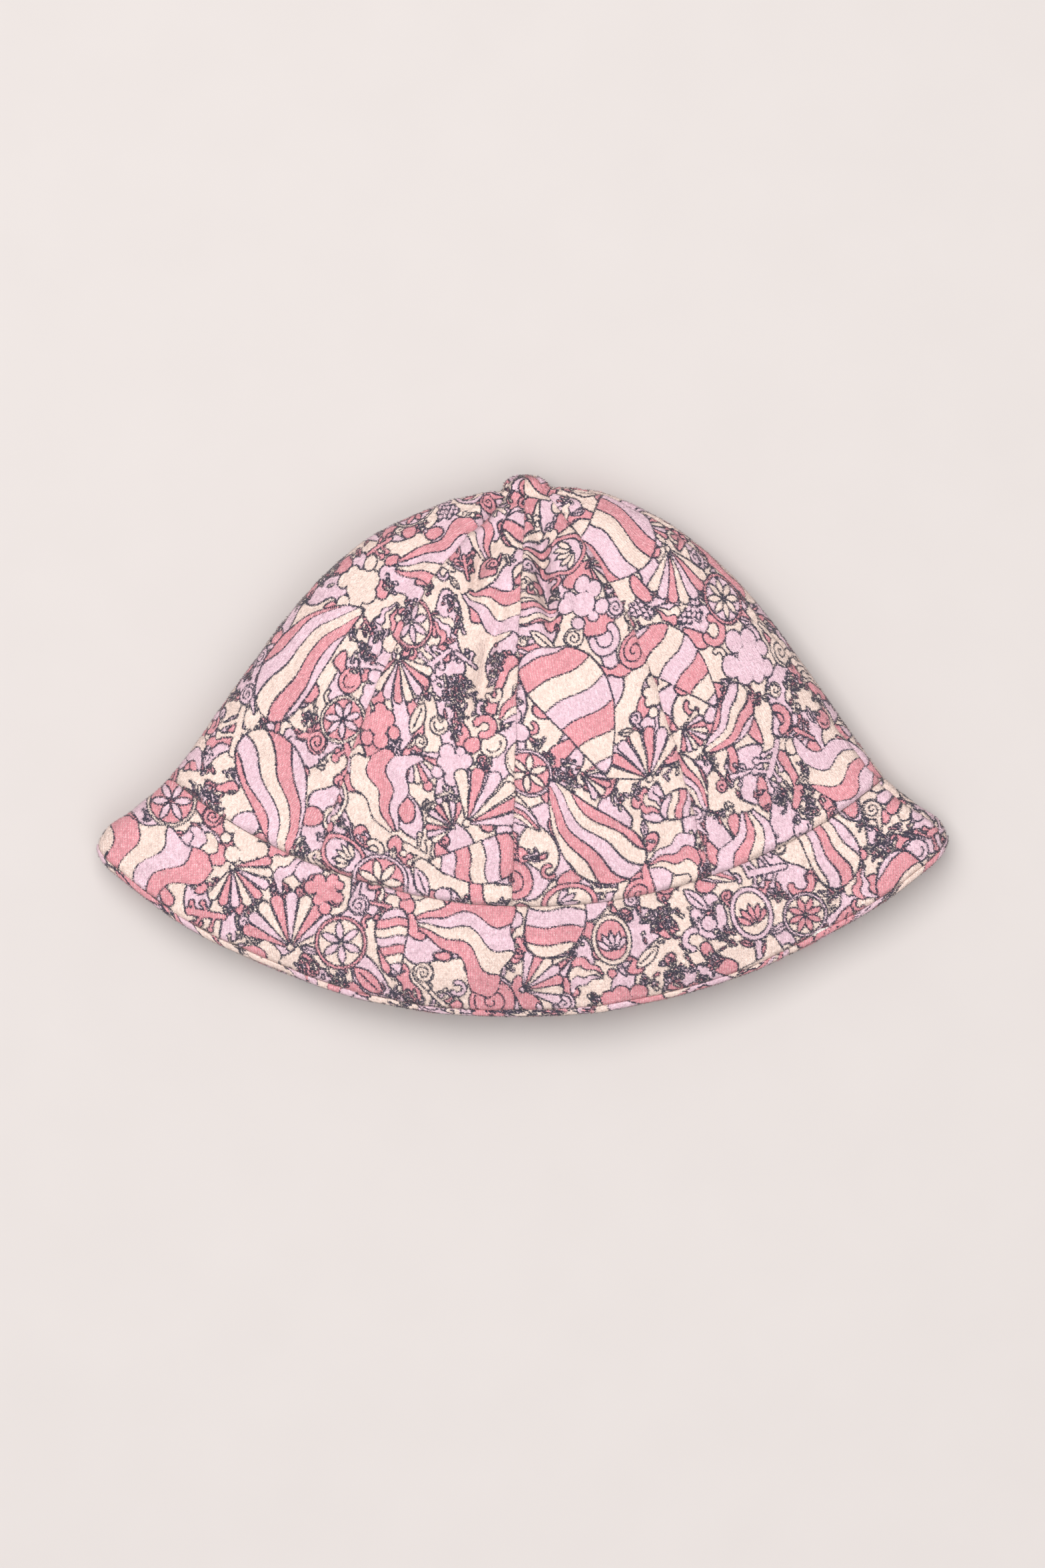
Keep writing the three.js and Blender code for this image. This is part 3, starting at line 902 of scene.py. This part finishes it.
class Shader:
    """Small helper that adds and links nodes of one material."""

    def __init__(self, name, roughness):
        self.material = bpy.data.materials.new(name)
        self.material.use_nodes = True
        self.tree = self.material.node_tree
        self.surface = self.tree.nodes["Principled BSDF"]
        self.surface.inputs["Roughness"].default_value = roughness

    def node(self, kind, **settings):
        made = self.tree.nodes.new("ShaderNode" + kind)
        for key, value in settings.items():
            setattr(made, key, value)
        return made

    def link(self, source, target):
        if isinstance(source, (int, float, tuple)):
            target.default_value = source
        else:
            self.tree.links.new(source, target)

    def math(self, operation, *values):
        made = self.node("Math", operation=operation)
        for value, socket in zip(values, made.inputs):
            self.link(value, socket)
        return made.outputs[0]

    def mix(self, factor, low, high):
        made = self.node("Mix", data_type="RGBA")
        for value, key in ((factor, 0), (low, 6), (high, 7)):
            self.link((*value, 1) if isinstance(value, tuple) else value, made.inputs[key])
        return made.outputs[2]

    def ramp(self, value, start, end, low=0.0, high=1.0):
        made = self.node("MapRange", interpolation_type="SMOOTHSTEP")
        for setting, key in ((value, 0), (start, 1), (end, 2), (low, 3), (high, 4)):
            self.link(setting, made.inputs[key])
        return made.outputs[0]

    def cloth(self, scale=(1, 1, 1)):
        """Place on the cloth in mm, stretched by `scale`."""
        source = self.node("Attribute", attribute_name="cloth")
        made = self.node("VectorMath", operation="MULTIPLY")
        self.link(source.outputs["Vector"], made.inputs[0])
        self.link(scale, made.inputs[1])
        return made.outputs[0]

    def noise(self, vector, size, detail=2.0, roughness=0.5):
        made = self.node("TexNoise")
        self.link(vector, made.inputs["Vector"])
        made.inputs["Scale"].default_value = 1 / size
        made.inputs["Detail"].default_value = detail
        made.inputs["Roughness"].default_value = roughness
        return made.outputs["Fac"]

    def rows(self, value, pitch):
        """Even ribs along one cloth coordinate, from 0 to 1."""
        wave = self.math("SINE", self.math("MULTIPLY", value, 2 * math.pi / pitch))
        return self.math("MULTIPLY_ADD", wave, 0.5, 0.5)

    def bump(self, height, distance, strength=1.0):
        made = self.node("Bump")
        made.inputs["Strength"].default_value = strength
        made.inputs["Distance"].default_value = distance * MM
        self.link(height, made.inputs["Height"])
        self.link(made.outputs[0], self.surface.inputs["Normal"])

    def sheen(self, weight, roughness, tint):
        self.surface.inputs["Sheen Weight"].default_value = weight
        self.surface.inputs["Sheen Roughness"].default_value = roughness
        self.surface.inputs["Sheen Tint"].default_value = (*tint, 1)


def velour_material():
    """Printed knit velour: three dyes and a dark outline, broken up by the pile and its knit rows."""
    s = Shader("printed_velour", 0.95)
    ink = s.node("SeparateXYZ")
    s.link(s.node("Attribute", attribute_name="print").outputs["Vector"], ink.inputs[0])
    line, coral, pink = ink.outputs
    cloth = s.cloth()
    whisker = s.math("SUBTRACT", s.noise(cloth, 0.55, 3, 0.65), 0.5)
    fray = s.math("SUBTRACT", s.noise(s.cloth((1, 0.6, 1)), 0.8, 2, 0.6), 0.5)
    shift = s.math("MULTIPLY", fray, 0.9)
    dye = s.mix(s.ramp(s.math("ADD", pink, shift), 0.15, -0.15), CREAM_DYE, PINK_DYE)
    dye = s.mix(s.ramp(s.math("ADD", coral, shift), 0.15, -0.15), dye, CORAL_DYE)
    place_on = s.node("SeparateXYZ")
    s.link(cloth, place_on.inputs[0])
    knit = s.math("MULTIPLY", s.rows(place_on.outputs[0], 0.8), s.rows(place_on.outputs[1], 0.55))
    nap = s.noise(s.cloth((1, 0.45, 1)), 0.7, 3, 0.6)
    speck = s.ramp(s.math("MULTIPLY_ADD", knit, 0.45, nap), 0.62, 0.95, 0.0, 0.42)
    dye = s.mix(speck, dye, YARN)
    shade = s.ramp(nap, 0.3, 0.7, 0.87, 1.05)
    patchy = s.ramp(s.noise(cloth, 9, 2), 0.3, 0.7, 0.95, 1.03)
    tone = s.node("VectorMath", operation="SCALE")
    s.link(dye, tone.inputs[0])
    s.link(s.math("MULTIPLY", shade, patchy), tone.inputs["Scale"])
    outline = s.ramp(s.math("MULTIPLY_ADD", whisker, 1.5, line), 0.46, 0.17, 0.0, 0.97)
    s.link(s.mix(outline, tone.outputs[0], INK_DYE), s.surface.inputs["Base Color"])
    s.bump(s.math("MULTIPLY_ADD", knit, 0.3, nap), 0.5, 0.8)
    s.sheen(0.15, 0.5, (1.0, 0.94, 0.95))
    return s.material


def knit_material(name, colour, pitch, strength):
    """Plain knit or woven cloth with fine rows both ways."""
    s = Shader(name, 0.9)
    place_on = s.node("SeparateXYZ")
    s.link(s.cloth(), place_on.inputs[0])
    slant = s.math("ADD", place_on.outputs[0], s.math("MULTIPLY", place_on.outputs[1], 0.5))
    weave = s.math("MULTIPLY", s.rows(slant, pitch), s.rows(place_on.outputs[1], pitch * 0.8))
    fuzz = s.noise(s.cloth(), 1.2, 3, 0.6)
    darker = tuple(0.82 * part for part in colour)
    height = s.math("MULTIPLY_ADD", fuzz, 0.5, weave)
    s.link(s.mix(s.ramp(height, 0.2, 1.1), darker, colour), s.surface.inputs["Base Color"])
    s.bump(height, 0.25, strength)
    s.sheen(0.15, 0.5, (1, 1, 1))
    return s.material


def plain_material(name, colour, size, roughness):
    """Cloth or thread with an even, fine mottle, in object space."""
    s = Shader(name, roughness)
    source = s.node("TexCoord")
    grain = s.noise(source.outputs["Object"], size * MM, 3, 0.6)
    darker = tuple(0.8 * part for part in colour)
    s.link(s.mix(s.ramp(grain, 0.3, 0.7), darker, colour), s.surface.inputs["Base Color"])
    s.bump(grain, 0.1, 0.5)
    return s.material


# ---------------------------------------------------------------------------------------------------
# Floor, light and camera
# ---------------------------------------------------------------------------------------------------

VIEW_CENTRE = (0.1, -12.8)
VIEW_HEIGHT = 522.7
SCALE_PLANE = 13.0
CAMERA_DISTANCE = 2000.0
SENSOR = 36.0


def add_floor():
    s = Shader("floor", 0.95)
    grain = s.noise(s.node("TexCoord").outputs["Object"], 0.03, 2)
    s.link(s.mix(grain, (0.560, 0.523, 0.510), (0.580, 0.543, 0.530)), s.surface.inputs["Base Color"])
    mesh = bpy.data.meshes.new("floor")
    reach = 3.0
    corners = [(-reach, -reach, 0), (reach, -reach, 0), (reach, reach, 0), (-reach, reach, 0)]
    mesh.from_pydata(corners, [], [(0, 1, 2, 3)])
    mesh.materials.append(s.material)
    floor = bpy.data.objects.new("floor", mesh)
    floor.location.z = -0.0004
    bpy.context.scene.collection.objects.link(floor)


def add_light(name, place_at, size, power, colour):
    light = bpy.data.lights.new(name, "AREA")
    light.size = size
    light.energy = power
    light.color = colour
    lamp = bpy.data.objects.new(name, light)
    lamp.location = place_at
    lamp.rotation_euler = (-Vector(place_at)).to_track_quat("-Z", "Y").to_euler()
    bpy.context.scene.collection.objects.link(lamp)


def add_world(colour, strength):
    world = bpy.data.worlds.new("soft_room")
    world.use_nodes = True
    background = world.node_tree.nodes["Background"]
    background.inputs["Color"].default_value = (*colour, 1)
    background.inputs["Strength"].default_value = strength
    bpy.context.scene.world = world


def add_camera():
    """Long lens straight above, with the point of the crown towards the top of the picture."""
    camera = bpy.data.objects.new("camera", bpy.data.cameras.new("camera"))
    camera.data.sensor_width = SENSOR
    camera.data.lens = SENSOR * CAMERA_DISTANCE / VIEW_HEIGHT
    height = SCALE_PLANE + CAMERA_DISTANCE
    camera.location = (VIEW_CENTRE[0] * MM, VIEW_CENTRE[1] * MM, height * MM)
    camera.data.clip_end = 20
    bpy.context.scene.collection.objects.link(camera)
    bpy.context.scene.camera = camera


add_camera()
add_floor()
add_light("key", (-0.3, 0.55, 1.85), 1.5, 36, (1.0, 0.985, 0.97))
add_light("fill", (0.25, -0.9, 1.6), 1.4, 11.5, (1.0, 0.99, 0.985))
add_world((1.0, 0.99, 0.985), 0.49)
bpy.context.scene.view_settings.view_transform = "Standard"

velour = velour_material()
for gore in range(GORES):
    add_crown_gore(gore, velour)
for side, half_name in enumerate(("front", "back")):
    add_brim_top(side, half_name, velour)
    add_brim_under(side, half_name, velour)

jersey = knit_material("lining_jersey", (0.86, 0.76, 0.66), 0.9, 0.5)
for gore in range(GORES):
    add_lining_gore(gore, jersey)
add_band(knit_material("band_twill", (0.80, 0.64, 0.58), 0.8, 0.7))
thread = plain_material("tack_thread", (0.62, 0.24, 0.28), 0.3, 0.6)
add_band_stitches(thread)

felt = plain_material("interlining", (0.85, 0.84, 0.80), 0.8, 0.95)
satin = plain_material("label_satin", (0.93, 0.91, 0.87), 0.25, 0.45)
kept = {
    "brim_interlining_front": felt, "brim_interlining_back": felt,
    "care_label": satin, "crown_tack": thread,
}
for name, material in kept.items():
    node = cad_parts[name]
    node.data.materials.clear()
    node.data.materials.append(material)
